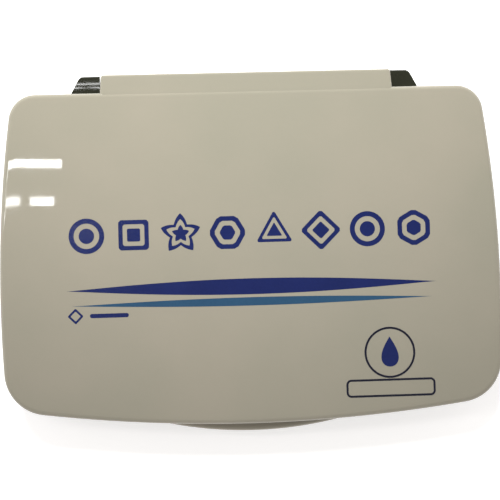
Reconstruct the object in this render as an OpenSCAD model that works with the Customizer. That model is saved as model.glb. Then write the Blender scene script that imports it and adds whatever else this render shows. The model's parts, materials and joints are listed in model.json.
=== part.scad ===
// Hinged stamp pad: a dark base with an inked felt pad, under a pale flip lid.
// Units are millimetres. +X is the width, +Y the hinge side, +Z up.
// The origin is at the middle of the footprint, on the surface that the feet stand on.

/* [Case] */
// Width of the lid at its widest point
lid_w = 120; // [110:1:130]
// Depth of the lid, from its rear edge to the middle of its bowed front edge
lid_d = 80; // [76:1:90]
// Height of the closed case, feet included
case_h = 20; // [20:0.5:22]
// Wall thickness of the lid
lid_wall = 1.8; // [1.6:0.1:2]
// Radius of the rounding along the lid's top edge
lid_edge_r = 1.2; // [1:0.1:2.6]

/* [Outline] */
// Radius of the bowed sides
side_r = 320; // [250:10:500]
// How far the widest point lies in front of the lid's middle
side_lead = 8; // [0:0.5:12]
// Radius of the bowed front edge
front_r = 368; // [300:1:500]
// Radius of the two front corners
front_corner_r = 10.4; // [8:0.1:14]
// Radius of the two rear corners
rear_corner_r = 6.5; // [6:0.1:10]

/* [Thumb lip] */
// How far the lip stands out in front of the lid
lip_out = 2.3; // [1.5:0.1:5]
// Plan radius of the lip's front edge
lip_r = 95; // [60:1:120]
// Thickness of the lip
lip_t = 1.6; // [1.2:0.1:2]

/* [Hinge] */
// Distance from the lid's rear edge back to the hinge axis
hinge_back = 3.5; // [3.3:0.1:4]
// Height of the hinge axis
hinge_z = 10.2; // [10.1:0.1:11]
// Half the width of the lid's hinge hood
hood_half_w = 35.3; // [30:0.1:38]
// How far the hood stands out behind the lid's rear edge
hood_out = 4.3; // [4.2:0.1:4.6]
// How far the base's hinge knuckles reach above and behind the hinge axis
knuckle_r = 1.9; // [1.8:0.1:2.6]
// Width of each knuckle where it meets the lid's rear edge
knuckle_w = 7.9; // [6:0.1:9]
// Radius of the steel hinge pins
pin_r = 0.8; // [0.7:0.05:0.9]

/* [Pad] */
// Half the width of the opening that shows the cloth
open_x = 45; // [40:0.5:45]
// Half the depth of the opening that shows the cloth
open_y = 26.5; // [22:0.5:26.5]
// Corner radius of the opening
open_r = 4; // [2:0.5:6]

/* [Hidden] */
$fn = 64;

// Colours
lid_colour = [0.74, 0.71, 0.64];
base_colour = [0.20, 0.20, 0.17];
frame_colour = [0.14, 0.14, 0.13];
tray_colour = [0.85, 0.85, 0.83];
felt_colour = [0.10, 0.12, 0.35];
cloth_colour = [0.06, 0.07, 0.25];
liner_colour = [0.88, 0.87, 0.83];
rubber_colour = [0.09, 0.09, 0.09];
steel_colour = [0.75, 0.75, 0.77];
paper_colour = [0.93, 0.92, 0.88];

// Places along Y
y_mid = (lip_out - hinge_back - knuckle_r) / 2;   // middle of the lid's depth
y_rear = y_mid + lid_d / 2;                       // rear edge of the lid
y_front = y_mid - lid_d / 2;                      // front edge of the lid, at the middle
hinge_y = y_rear + hinge_back;                    // hinge axis

// Heights
foot_out = 0.8;                    // how far a foot stands below the base
foot_seat = 0.6;                   // depth of its pocket
floor_t = 1.8;                     // thickness of the base's floor
floor_z = foot_out + floor_t;      // top of the base's floor
shoulder_z = 9.5;                  // top of the base's outer wall
lid_z = 9.9;                       // lower edge of the lid
rim_z = 12.2;                      // top of the base's inner rim
lid_top_t = 1.7;                   // thickness of the lid's top
lid_roof_z = case_h - lid_top_t;   // underside of the lid's top

// Insets from the lid's outline
base_inset = 0.8;                          // top of the base's outer wall
base_draft = 0.5;                          // how much more the wall's lower end is moved in
base_edge = 1.2;                           // rounding under the base's outer edge
rim_inset = lid_wall + 0.3;                // outside of the rim, clear of the lid's wall
cavity_inset = rim_inset + 1.6;            // inside of the rim
frame_inset = cavity_inset + 0.3;          // outside of the cloth frame
frame_skirt_inset = frame_inset + 0.8;     // inside of its skirt

// Pad stack
tray_x = 50;
tray_y = 30.5;
tray_r = 6;
tray_wall = 1.2;
tray_h = 6.8;
fence_gap = 0.2;                                // between the tray and the fence that locates it
fence_w = 1;
fence_h = 1.6;
sponge_h = 3.4;
felt_h = 3.25;
cloth_t = 0.45;
cloth_drop = 5;                                 // how far the cloth turns down beside the felt
cloth_gap = 0.1;                                // clearance between cloth and tray
sponge_z = floor_z + tray_wall;
felt_z = sponge_z + sponge_h;
cloth_x = tray_x - tray_wall - cloth_gap;
cloth_y = tray_y - tray_wall - cloth_gap;
cloth_r = tray_r - tray_wall - cloth_gap;
felt_top_z = felt_z + felt_h;
crown_gap = 0.4;                                // between the cloth's crown and the frame
crown_h = 2;                                    // how far the pad rises in the opening
crown_slope = 2.2;                              // how far its edge leans in
crown_root = 0.5;                               // how deep the felt's crown starts in the felt

// Cloth frame
frame_z = felt_top_z + cloth_t + 0.1;           // underside of the plate
frame_t = 0.95;
frame_top_z = frame_z + frame_t;
frame_lip_w = 1.2;
frame_lip_h = 0.4;
stake_r = 0.75;
boss_r = 1.4;
stake_hole_r = 0.8;
stake_foot_z = 6;
boss_at = concat(
    [for (sx = [-1, 1], sy = [-1, 1]) [sx * 52, y_mid + sy * 24]],
    [for (sx = [-1, 1], sy = [-1, 1]) [sx * 20, y_mid + sy * 33]]
);

// Inner lid
liner_x = 54;
liner_y = 34;
liner_r = 6;
liner_t = 1;
liner_gap = 0.1;
liner_top_z = lid_roof_z - liner_gap;
liner_z = liner_top_z - liner_t;
rib_x = 50.5;                                   // outside of the rib that carries the gasket
rib_y = 32;
rib_r = 7;
rib_w = 1.4;
rib_drop = 3.2;
gasket_lip = 0.7;                               // gasket thickness on each side of the rib
gasket_z = frame_top_z + 0.1;
gasket_grip = 1.7;                              // how far it wraps up the rib
peg_r = 1.2;
peg_hole_r = 1.3;
peg_at = [for (sx = [-1, 0, 1], sy = [-1, 1]) [sx * 36, y_mid + sy * 20]];

// Hinge details
hood_step = 0.2;                                // how far the hood lies below the lid's top
hood_wall = 1.6;
hood_end_wall = 2.1;
hood_draft = 0.4;                               // taper of each end of the hood
hood_cut = 2;                                   // how far behind the lid its lower part is cut away
lug_r = 1.9;
lug_w = 8.5;
knuckle_gap = 0.25;
knuckle_x = hood_half_w + knuckle_gap;
knuckle_foot_z = 4.5;
knuckle_root = hinge_back + 2;                  // how far it reaches in front of the axis
knuckle_flat = 2;                               // depth of its flat top in front of the axis
knuckle_soft = 0.5;                             // size of the slope along its upper rear edge
knuckle_lean = 3.3;                             // how far its outer end leans in towards the back
knuckle_end_r = 1.8;                            // plan radius of its outer rear corner
knuckle_web = 0.6;                              // height of its front web above the axis
knuckle_clear = 0.4;                            // between that web and the lid's rear wall
lug_bore_r = pin_r + 0.06;
knuckle_bore_r = pin_r + 0.02;
pin_start_x = hood_half_w - 7;
pin_end_x = knuckle_x + knuckle_w - 3.4;

// Catch that holds the lid shut
bead_out = 0.2;
bead_z = 10.7;
bead_h = 0.5;
bead_half_w = 7;

// Feet and label
foot_r = 4;
foot_pocket_r = 4.2;
foot_x = 46;
foot_y = 26;
label_size = [46, 16];
label_t = 0.2;
label_pocket = [47, 17, 0.3];
label_r = 2;

// ---------- outline ----------

side_c = [lid_w / 2 - side_r, y_mid - side_lead];
front_c = [0, y_front + front_r];

function arc(c, r, a0, a1, n) =
    [for (k = [0 : n]) let (a = a0 + (a1 - a0) * k / n) [c[0] + r * cos(a), c[1] + r * sin(a)]];

function bearing(from, to) = atan2(to[1] - from[1], to[0] - from[0]);

// The lower of the two points at distance r0 from c0 and r1 from c1
function meet(c0, r0, c1, r1) =
    let (
        d = c1 - c0,
        l = norm(d),
        a = (r0 * r0 - r1 * r1 + l * l) / (2 * l),
        h = sqrt(r0 * r0 - a * a),
        u = d / l,
        p = c0 + a * u + h * [-u[1], u[0]],
        q = c0 + a * u - h * [-u[1], u[0]]
    )
    p[1] < q[1] ? p : q;

front_corner_c = meet(side_c, side_r - front_corner_r, front_c, front_r - front_corner_r);
rear_corner_y = y_rear - rear_corner_r;
rear_corner_c = [
    side_c[0] + sqrt(pow(side_r - rear_corner_r, 2) - pow(rear_corner_y - side_c[1], 2)),
    rear_corner_y
];

// Right half of the lid's outline moved in by i, from the middle of the front round to the rear
function half_outline(i) = concat(
    arc(front_c, front_r - i, -90, bearing(front_c, front_corner_c), 10),
    arc(front_corner_c, front_corner_r - i,
        bearing(front_c, front_corner_c), bearing(side_c, front_corner_c), 8),
    arc(side_c, side_r - i, bearing(side_c, front_corner_c), bearing(side_c, rear_corner_c), 10),
    arc(rear_corner_c, rear_corner_r - i, bearing(side_c, rear_corner_c), 90, 8)
);

function outline(i) =
    let (right = half_outline(i))
    concat(right, [for (k = [len(right) - 1 : -1 : 1]) [-right[k][0], right[k][1]]]);

// ---------- shared shapes ----------

// Outline-shaped slab from z0 to z1, moved in by i
module slab(i, z0, z1) {
    translate([0, 0, z0]) linear_extrude(z1 - z0) polygon(outline(i));
}

module rounded_rect(x, y, r) {
    square([2 * (x - r), 2 * y], center = true);
    square([2 * x, 2 * (y - r)], center = true);
    for (sx = [-1, 1], sy = [-1, 1]) translate([sx * (x - r), sy * (y - r)]) circle(r);
}

// Rounded block from z0 to z1, centred on the pad
module pad_block(x, y, r, z0, z1) {
    translate([0, y_mid, z0]) linear_extrude(z1 - z0) rounded_rect(x, y, r);
}

// Crown of the pad inside the opening, i smaller all round
module crown(i, z0, h) {
    hull() {
        pad_block(open_x - i, open_y - i, open_r, z0, z0 + 0.1);
        pad_block(open_x - i - crown_slope, open_y - i - crown_slope, open_r, z0 + h - 0.1, z0 + h);
    }
}

module posts(places, r, z0, z1) {
    for (p = places) translate([p[0], p[1], z0]) cylinder(r = r, h = z1 - z0);
}

// Rod along X at the hinge axis, from x0 to x1
module hinge_rod(r, x0, x1) {
    translate([x0, hinge_y, hinge_z]) rotate([0, 90, 0]) cylinder(r = r, h = x1 - x0);
}

// ---------- base ----------

// Side shape of a knuckle, as [distance behind the hinge axis, height above it]
knuckle_side = [
    [-knuckle_root, knuckle_foot_z - hinge_z], [knuckle_r / 2, knuckle_foot_z - hinge_z],
    [knuckle_r, -lug_r], [knuckle_r, knuckle_r - knuckle_soft], [knuckle_r - knuckle_soft, knuckle_r],
    [-knuckle_flat, knuckle_r],
    [knuckle_clear - hinge_back, knuckle_web], [knuckle_clear - hinge_back, shoulder_z - hinge_z],
    [-knuckle_root, shoulder_z - hinge_z]
];

module knuckle() {
    difference() {
        intersection() {
            translate([knuckle_x, hinge_y, hinge_z]) rotate([90, 0, 90])
                linear_extrude(knuckle_w) polygon(knuckle_side);
            // plan shape, whose outer end leans in towards the back
            translate([knuckle_x, hinge_y, 0]) linear_extrude(hinge_z + knuckle_r) hull() {
                translate([0, -knuckle_root]) square([knuckle_w, knuckle_root - hinge_back]);
                square([1, knuckle_r]);
                translate([knuckle_w - knuckle_lean - knuckle_end_r, knuckle_r - knuckle_end_r])
                    circle(knuckle_end_r);
            }
        }
        hinge_rod(knuckle_bore_r, knuckle_x - 1, knuckle_x + knuckle_w + 1);
    }
}

// Bead on the front of the rim that the lid snaps over
module catch_bead() {
    intersection() {
        slab(rim_inset - bead_out, bead_z, bead_z + bead_h);
        translate([-bead_half_w, y_front, 0]) cube([2 * bead_half_w, lid_d / 4, case_h]);
    }
}

module base_shell() {
    color(base_colour) difference() {
        union() {
            hull() {
                slab(base_inset + base_draft + base_edge, foot_out, foot_out + base_edge);
                slab(base_inset + base_draft, foot_out + base_edge, shoulder_z - base_edge);
                slab(base_inset, shoulder_z - base_edge, shoulder_z);
            }
            slab(rim_inset, shoulder_z - base_edge, rim_z);
            catch_bead();
            for (s = [0, 1]) mirror([s, 0, 0]) knuckle();
        }
        difference() {
            slab(cavity_inset, floor_z, rim_z + 1);
            posts(boss_at, boss_r, floor_z - 1, frame_z);
            // low fence that locates the tray
            difference() {
                fence(fence_gap + fence_w, floor_z - 1, floor_z + fence_h);
                fence(fence_gap, floor_z - 2, floor_z + fence_h + 1);
            }
        }
        posts(boss_at, stake_hole_r, stake_foot_z - 0.5, rim_z);
        posts(foot_at, foot_pocket_r, foot_out - 1, foot_out + foot_seat);
        translate([0, y_mid, foot_out - 1]) linear_extrude(1 + label_pocket[2])
            rounded_rect(label_pocket[0] / 2, label_pocket[1] / 2, label_r);
    }
}

module fence(out, z0, z1) {
    pad_block(tray_x + out, tray_y + out, tray_r + out, z0, z1);
}

module pad_tray() {
    color(tray_colour) difference() {
        pad_block(tray_x, tray_y, tray_r, floor_z, floor_z + tray_h);
        pad_block(tray_x - tray_wall, tray_y - tray_wall, tray_r - tray_wall,
            sponge_z, floor_z + tray_h + 1);
    }
}

module ink_sponge() {
    color(felt_colour) pad_block(cloth_x - cloth_t, cloth_y - cloth_t, cloth_r - cloth_t,
        sponge_z, felt_z);
}

module felt_pad() {
    color(felt_colour) {
        pad_block(cloth_x - cloth_t, cloth_y - cloth_t, cloth_r - cloth_t, felt_z, felt_top_z);
        felt_crown();
    }
}

module felt_crown() {
    crown(crown_gap + cloth_t, felt_top_z - crown_root, crown_h + crown_root);
}

module pad_cloth() {
    color(cloth_colour) difference() {
        union() {
            pad_block(cloth_x, cloth_y, cloth_r, felt_top_z - cloth_drop, felt_top_z + cloth_t);
            crown(crown_gap, felt_top_z, crown_h + cloth_t);
        }
        pad_block(cloth_x - cloth_t, cloth_y - cloth_t, cloth_r - cloth_t,
            felt_top_z - cloth_drop - 1, felt_top_z);
        felt_crown();
    }
}

module cloth_frame() {
    color(frame_colour) {
        difference() {
            union() {
                slab(frame_inset, frame_z, frame_top_z);
                pad_block(open_x + frame_lip_w, open_y + frame_lip_w, open_r + frame_lip_w,
                    frame_z, frame_top_z + frame_lip_h);
            }
            pad_block(open_x, open_y, open_r, frame_z - 1, frame_top_z + 2);
        }
        difference() {
            slab(frame_inset, shoulder_z + 0.2, frame_z + 0.2);
            slab(frame_skirt_inset, shoulder_z - 1, frame_z + 1);
        }
        posts(boss_at, stake_r, stake_foot_z, frame_z + 0.2);
    }
}

foot_names = ["front_left", "front_right", "rear_left", "rear_right"];
foot_at = [for (sy = [-1, 1], sx = [-1, 1]) [sx * foot_x, y_mid + sy * foot_y]];

module rubber_foot(k) {
    color(rubber_colour) posts([foot_at[k]], foot_r, 0, foot_out + foot_seat);
}

module bottom_label() {
    color(paper_colour) translate([0, y_mid, foot_out + label_pocket[2] - label_t])
        linear_extrude(label_t) rounded_rect(label_size[0] / 2, label_size[1] / 2, label_r);
}

// ---------- lid ----------

// Outside of the lid, its top edge rounded in steps
module lid_body() {
    hull() {
        slab(0, lid_z, case_h - lid_edge_r);
        for (a = [22.5 : 22.5 : 90])
            slab(lid_edge_r * (1 - cos(a)), case_h - lid_edge_r,
                case_h - lid_edge_r + lid_edge_r * sin(a));
    }
}

// Hinge hood: a downward-opening channel behind the lid's rear wall, with a lug at each end
module hood() {
    top = case_h - hood_step;
    foot = hinge_z - lug_r;
    back = y_rear + hood_out;
    bay_x = hood_half_w - hood_end_wall;
    difference() {
        translate([0, 0, foot]) linear_extrude(top - foot) polygon([
            [-hood_half_w, y_rear - 1], [hood_half_w, y_rear - 1],
            [hood_half_w - hood_draft, back], [-(hood_half_w - hood_draft), back]
        ]);
        // inside of the channel
        translate([-bay_x, y_rear - 2, foot - 1])
            cube([2 * bay_x, back - hood_wall - y_rear + 2, top - hood_wall - foot + 1]);
        // clearance for the base's rear wall
        translate([-hood_half_w - 1, y_rear - 2, foot - 1])
            cube([2 * hood_half_w + 2, 2 + hood_cut, lid_z - foot + 1]);
    }
    for (s = [0, 1]) mirror([s, 0, 0])
        hinge_rod(lug_r, hood_half_w - lug_w, hood_half_w - hood_draft);
}

module thumb_lip() {
    translate([0, 0, lid_z]) linear_extrude(lip_t) intersection() {
        translate([0, y_front - lip_out + lip_r]) circle(lip_r);
        translate([-lip_r / 2, y_front - lip_out]) square([lip_r, lip_out + 4]);
    }
}

module lid_shell() {
    color(lid_colour) {
        difference() {
            union() {
                lid_body();
                thumb_lip();
            }
            slab(lid_wall, lid_z - 1, lid_roof_z);
        }
        difference() {
            hood();
            for (s = [0, 1]) mirror([s, 0, 0])
                hinge_rod(lug_bore_r, pin_start_x - 0.2, hood_half_w + 1);
        }
        posts(peg_at, peg_r, liner_z, lid_roof_z + 0.2);
    }
}

module lid_liner() {
    color(liner_colour) difference() {
        union() {
            pad_block(liner_x, liner_y, liner_r, liner_z, liner_top_z);
            difference() {
                pad_block(rib_x, rib_y, rib_r, liner_z - rib_drop, liner_z + 0.2);
                pad_block(rib_x - rib_w, rib_y - rib_w, rib_r - rib_w,
                    liner_z - rib_drop - 1, liner_z + 0.4);
            }
        }
        posts(peg_at, peg_hole_r, liner_z - 1, liner_top_z + 1);
    }
}

module lid_gasket() {
    rib_foot_z = liner_z - rib_drop;
    inner = rib_w + gasket_lip;
    color(rubber_colour) difference() {
        pad_block(rib_x + gasket_lip, rib_y + gasket_lip, rib_r + gasket_lip,
            gasket_z, rib_foot_z + gasket_grip);
        pad_block(rib_x - inner, rib_y - inner, rib_r - inner,
            gasket_z - 1, rib_foot_z + gasket_grip + 1);
        // slot that the rib sits in
        difference() {
            pad_block(rib_x, rib_y, rib_r, rib_foot_z, rib_foot_z + gasket_grip + 1);
            pad_block(rib_x - rib_w, rib_y - rib_w, rib_r - rib_w,
                rib_foot_z - 1, rib_foot_z + gasket_grip + 2);
        }
    }
}

// ---------- hinge pins ----------

module hinge_pin(side) {
    color(steel_colour) mirror([side, 0, 0]) hinge_rod(pin_r, pin_start_x, pin_end_x);
}

base_shell();
pad_tray();
ink_sponge();
felt_pad();
pad_cloth();
cloth_frame();
lid_shell();
lid_liner();
lid_gasket();
hinge_pin(1);  // hinge_pin_left
hinge_pin(0);  // hinge_pin_right
for (k = [0 : 3]) rubber_foot(k);
bottom_label();
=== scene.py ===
"""Hinged stamp pad: the looks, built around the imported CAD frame.

Shapes are worked out in millimetres, in the frame's own axes, and become metres when a mesh is made.
"""

import json
import math

import bmesh
import bpy
import numpy as np
from mathutils import Matrix, Vector, noise


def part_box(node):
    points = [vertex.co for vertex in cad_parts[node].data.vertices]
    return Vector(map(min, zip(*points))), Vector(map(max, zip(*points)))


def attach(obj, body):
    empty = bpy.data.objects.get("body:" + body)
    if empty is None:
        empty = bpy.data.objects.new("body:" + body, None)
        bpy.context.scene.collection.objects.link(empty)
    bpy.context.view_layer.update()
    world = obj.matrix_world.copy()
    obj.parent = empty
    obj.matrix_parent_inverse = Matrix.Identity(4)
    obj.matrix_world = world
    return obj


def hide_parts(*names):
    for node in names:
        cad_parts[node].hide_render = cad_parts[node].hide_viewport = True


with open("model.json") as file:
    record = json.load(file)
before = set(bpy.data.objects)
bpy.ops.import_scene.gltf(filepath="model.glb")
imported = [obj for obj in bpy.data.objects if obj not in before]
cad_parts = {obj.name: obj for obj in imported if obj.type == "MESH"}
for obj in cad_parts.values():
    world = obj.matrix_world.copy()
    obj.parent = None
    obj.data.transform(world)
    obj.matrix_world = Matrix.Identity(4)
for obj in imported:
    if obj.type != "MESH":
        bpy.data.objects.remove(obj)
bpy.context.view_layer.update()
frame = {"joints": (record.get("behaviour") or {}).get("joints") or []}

MM = 0.001


def box(node):
    """Lowest and highest corner of a CAD node, in millimetres."""
    return [np.array(corner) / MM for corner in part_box(node)]


def extent(node):
    """Half width, half depth, bottom and top of a CAD node that is centred on the pad."""
    low, high = box(node)
    return high[0], (high[1] - low[1]) / 2, low[2], high[2]


# ---------- sizes, in millimetres ----------

# The lid's outline
LIP_OUT = 2.3
LID_DEPTH = 80.0
SIDE_R = 320.0
SIDE_LEAD = 8.0
FRONT_R = 368.0
FRONT_CORNER_R = 10.4
REAR_CORNER_R = 6.5

LID_LOW, LID_HIGH = box("lid_shell")
LID_W = LID_HIGH[0] - LID_LOW[0]
TOP_Z = LID_HIGH[2]
FRONT_Y = LID_LOW[1] + LIP_OUT
REAR_Y = FRONT_Y + LID_DEPTH
MID_Y = (FRONT_Y + REAR_Y) / 2
HINGE_Y, HINGE_Z = (v / MM for v in frame["joints"][0]["pos_m"][1:])

# The lid
LID_Z = 9.9
LID_WALL = 1.8
LID_ROOF_Z = TOP_Z - 1.7
LID_EDGE_R = 1.2
LIP_R = 95.0
LIP_T = 1.6

# The hinge
HOOD_HALF_W = 35.3
HOOD_OUT = 4.3
HOOD_TOP_Z = TOP_Z - 0.2
HOOD_WALL = 1.6
HOOD_END_WALL = 2.1
HOOD_DRAFT = 0.4
HOOD_CUT = 2.0
LUG_R = 1.9
LUG_W = 8.5
LUG_BORE_R = 0.86
KNUCKLE_R = 1.9
KNUCKLE_W = 7.9
KNUCKLE_X = HOOD_HALF_W + 0.25
KNUCKLE_FOOT_Z = 4.5
KNUCKLE_ROOT = 5.5
KNUCKLE_LEAN = 3.3
KNUCKLE_END_R = 2.0
KNUCKLE_FALL = 2.0  # degrees that its top slopes down towards its outer end
KNUCKLE_CROWN_R = 50.0  # radius of its gently crowned top
KNUCKLE_CREST = 2.3  # how far behind the axis the crown would be level
KNUCKLE_BORE_R = 0.82

# The base
BASE_Z = 0.8
FLOOR_Z = 2.6
SHOULDER_Z = 9.5
RIM_Z = 12.2
BASE_INSET = 0.8
BASE_DRAFT = 0.5
BASE_EDGE_R = 1.2
CAP_INSET = 12.0  # where the bottom and floor faces start: past the corners' radii, so these rings cross
RIM_INSET = 2.1
CAVITY_INSET = 3.7
BOSS_R = 1.4
BOSS_HOLE_R = 0.8
BOSS_HOLE_Z = 5.5
FENCE_W = 1.0
FENCE_H = 1.6
FENCE_GAP = 0.2
FOOT_POCKET_R = 4.2
LABEL_POCKET = (23.5, 8.5, 0.3)  # half width, half depth, depth into the base
LABEL_R = 2.0

# The catch
BEAD_Z = 10.95
BEAD_HALF_H = 0.45
BEAD_HALF_W = 7.0
BEAD_OUT = 0.2
BOSSES = [(sx * 52, sy * 24) for sx in (-1, 1) for sy in (-1, 1)]
BOSSES += [(sx * 20, sy * 33) for sx in (-1, 1) for sy in (-1, 1)]

# The ink tray and the frame over it
TRAY_R = 6.0
TRAY_WALL = 1.2
TRAY_CAP_INSET = 7.0
FRAME_T = 0.95
FRAME_LIP_W = 1.2
FRAME_LIP_H = 0.4
STAKE_R = 0.75

# The opening that shows the cloth
OPEN_X = 45.0
OPEN_Y = 26.5
OPEN_R = 4.0

# The inner lid, its rib and its pegs
LINER_T = 1.0
LINER_R = 6.0
RIB_X = 50.5
RIB_Y = 32.0
RIB_CORNER_R = 7.0
RIB_W = 1.4
RIB_DROP = 3.2
GASKET_LIP = 0.7
PEGS = [(sx * 36, sy * 20) for sx in (-1, 0, 1) for sy in (-1, 1)]
PEG_R = 1.2


# ---------- outlines ----------


def arc(centre, radius, start, end, steps):
    """Points along an arc, from start towards end in degrees, without the last one."""
    angles = np.radians(start + (end - start) * np.arange(steps) / steps)
    return np.stack([centre[0] + radius * np.cos(angles), centre[1] + radius * np.sin(angles)], 1)


def line(start, end, steps):
    """Points along a straight line, without the last one."""
    share = np.arange(steps)[:, None] / steps
    return np.array(start) * (1 - share) + np.array(end) * share


def bearing(start, end):
    return math.degrees(math.atan2(end[1] - start[1], end[0] - start[0]))


def meet(c0, r0, c1, r1):
    """The lower of the two points at distance r0 from c0 and r1 from c1."""
    c0, c1 = np.array(c0, float), np.array(c1, float)
    gap = np.linalg.norm(c1 - c0)
    along = (r0 * r0 - r1 * r1 + gap * gap) / (2 * gap)
    aside = math.sqrt(r0 * r0 - along * along)
    u = (c1 - c0) / gap
    side = np.array([-u[1], u[0]]) * aside
    return min(c0 + u * along + side, c0 + u * along - side, key=lambda p: p[1])


SIDE_C = (LID_W / 2 - SIDE_R, MID_Y - SIDE_LEAD)
FRONT_C = (0.0, FRONT_Y + FRONT_R)
FRONT_CORNER_C = meet(SIDE_C, SIDE_R - FRONT_CORNER_R, FRONT_C, FRONT_R - FRONT_CORNER_R)
REAR_CORNER_C = (
    SIDE_C[0] + math.sqrt((SIDE_R - REAR_CORNER_R) ** 2 - (REAR_Y - REAR_CORNER_R - SIDE_C[1]) ** 2),
    REAR_Y - REAR_CORNER_R,
)
STEPS = (26, 14, 30, 12, 24)  # points along half front, front corner, side, rear corner, half rear


def mirrored(half):
    """A closed ring from its right half, given from the middle of the front to that of the rear."""
    left = half[1:-1][::-1] * (-1, 1)
    return np.concatenate([half, left])


def outline(inset):
    """The lid's outline, moved in by inset."""
    to_front, to_side = bearing(FRONT_C, FRONT_CORNER_C), bearing(SIDE_C, FRONT_CORNER_C)
    to_rear = bearing(SIDE_C, REAR_CORNER_C)
    rear_y = REAR_Y - inset
    half = [
        arc(FRONT_C, FRONT_R - inset, -90, to_front, STEPS[0]),
        arc(FRONT_CORNER_C, FRONT_CORNER_R - inset, to_front, to_side, STEPS[1]),
        arc(SIDE_C, SIDE_R - inset, to_side, to_rear, STEPS[2]),
        arc(REAR_CORNER_C, REAR_CORNER_R - inset, to_rear, 90, STEPS[3]),
        line((REAR_CORNER_C[0], rear_y), (0, rear_y), STEPS[4]),
        [(0, rear_y)],
    ]
    return mirrored(np.concatenate(half))


def rounded_rect(half_x, half_y, radius, centre_y=MID_Y):
    """A function that gives a rounded rectangle moved in by an inset."""

    def ring(inset):
        x, y = half_x - inset, half_y - inset
        r = min(max(radius - inset, 0.05), x, y)
        half = [
            line((0, -y), (x - r, -y), STEPS[0]),
            arc((x - r, r - y), r, -90, 0, STEPS[1]),
            line((x, r - y), (x, y - r), STEPS[2]),
            arc((x - r, y - r), r, 0, 90, STEPS[3]),
            line((x - r, y), (0, y), STEPS[4]),
            [(0, y)],
        ]
        return mirrored(np.concatenate(half)) + (0, centre_y)

    return ring


def circle(radius, centre=(0, 0), steps=40):
    """A function that gives a circle moved in by an inset."""
    return lambda inset: arc(centre, max(radius - inset, 0.01), -90, 270, steps)


# ---------- mesh making ----------


def softened(profile, looped=False, steps=5):
    """A profile of (inset, z, radius) corners, with each corner rounded to its radius."""
    points = [np.array(p[:2], float) for p in profile]
    out = []
    for k, p in enumerate(points):
        radius = profile[k][2] if len(profile[k]) > 2 else 0
        if radius == 0 or (not looped and k in (0, len(points) - 1)):
            out.append(p)
            continue
        a, b = points[k - 1] - p, points[(k + 1) % len(points)] - p
        a, b = a / np.linalg.norm(a), b / np.linalg.norm(b)
        half = math.acos(max(-1, min(1, float(a @ b)))) / 2
        middle = p + (a + b) / np.linalg.norm(a + b) * radius / math.sin(half)
        start = p + a * radius / math.tan(half) - middle
        end = p + b * radius / math.tan(half) - middle
        turn = math.acos(max(-1, min(1, float(start @ end) / radius**2)))
        for s in range(steps + 1):
            share = s / steps
            mix = math.sin((1 - share) * turn) * start + math.sin(share * turn) * end
            out.append(middle + mix / math.sin(turn))
    return out


def rings(shape, profile, looped=False, steps=5):
    """The rings of a shape along a profile, in three dimensions."""
    made = []
    for inset, z in softened(profile, looped, steps):
        flat = shape(inset)
        made.append(np.column_stack([flat, np.full(len(flat), z)]))
    return made


def placed(name, data):
    """A new object in the scene, for a mesh, light or camera."""
    thing = bpy.data.objects.new(name, data)
    bpy.context.scene.collection.objects.link(thing)
    return thing


def mesh_object(name, points, faces):
    mesh = bpy.data.meshes.new(name)
    mesh.from_pydata((np.asarray(points, float) * MM).tolist(), [], faces)
    work = bmesh.new()
    work.from_mesh(mesh)
    bmesh.ops.recalc_face_normals(work, faces=work.faces)
    work.to_mesh(mesh)
    work.free()
    return placed(name, mesh)


def skin(name, layers, looped=False):
    """A closed surface over rings of equal length. Its ends are capped, or joined if looped."""
    n, count = len(layers[0]), len(layers)
    faces = []
    for r in range(count if looped else count - 1):
        low, high = r * n, (r + 1) % count * n
        faces += [(low + k, low + (k + 1) % n, high + (k + 1) % n, high + k) for k in range(n)]
    if not looped:
        faces.append(tuple(range(n - 1, -1, -1)))
        faces.append(tuple(range((count - 1) * n, count * n)))
    return mesh_object(name, np.concatenate(layers), faces)


def solid(name, shape, profile, looped=False, steps=5):
    return skin(name, rings(shape, profile, looped, steps), looped)


def prism(name, points, z0, z1):
    """An upright block over a closed outline."""
    flat = np.asarray(points, float)
    return skin(name, [np.column_stack([flat, np.full(len(flat), z)]) for z in (z0, z1)])


def rod(name, radius, x0, x1, chamfer=0.0, steps=40):
    """A rod along X on the hinge axis, with chamfered ends."""
    turn = np.radians(np.arange(steps) * 360 / steps)
    layers = []
    small = radius - chamfer
    for x, r in ((x0, small), (x0 + chamfer, radius), (x1 - chamfer, radius), (x1, small)):
        if layers and chamfer == 0 and np.isclose(x, layers[-1][0, 0]):
            continue
        ring = [np.full(steps, x), HINGE_Y + r * np.cos(turn), HINGE_Z + r * np.sin(turn)]
        layers.append(np.column_stack(ring))
    return skin(name, layers)


def post(name, radius, at, z0, z1, steps=28):
    return solid(name, circle(radius, (at[0], at[1] + MID_Y), steps), [(0, z0), (0, z1)])


def bake(piece):
    """Applies the piece's modifiers."""
    bpy.context.view_layer.update()
    done = bpy.data.meshes.new_from_object(piece.evaluated_get(bpy.context.evaluated_depsgraph_get()))
    piece.modifiers.clear()
    old = piece.data
    piece.data = done
    bpy.data.meshes.remove(old)
    return piece


def combine(piece, tool, operation):
    change = piece.modifiers.new("combine", "BOOLEAN")
    change.operation, change.object, change.solver = operation, tool, "EXACT"
    bake(piece)
    bpy.data.objects.remove(tool)
    return piece


def add(piece, *tools):
    for tool in tools:
        combine(piece, tool, "UNION")
    return piece


def cut(piece, *tools):
    for tool in tools:
        combine(piece, tool, "DIFFERENCE")
    return piece


def bevel(piece, width, steps=3, angle=35):
    change = piece.modifiers.new("bevel", "BEVEL")
    change.width, change.segments = width * MM, steps
    change.limit_method, change.angle_limit = "ANGLE", math.radians(angle)
    change.use_clamp_overlap = True
    return bake(piece)


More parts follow.
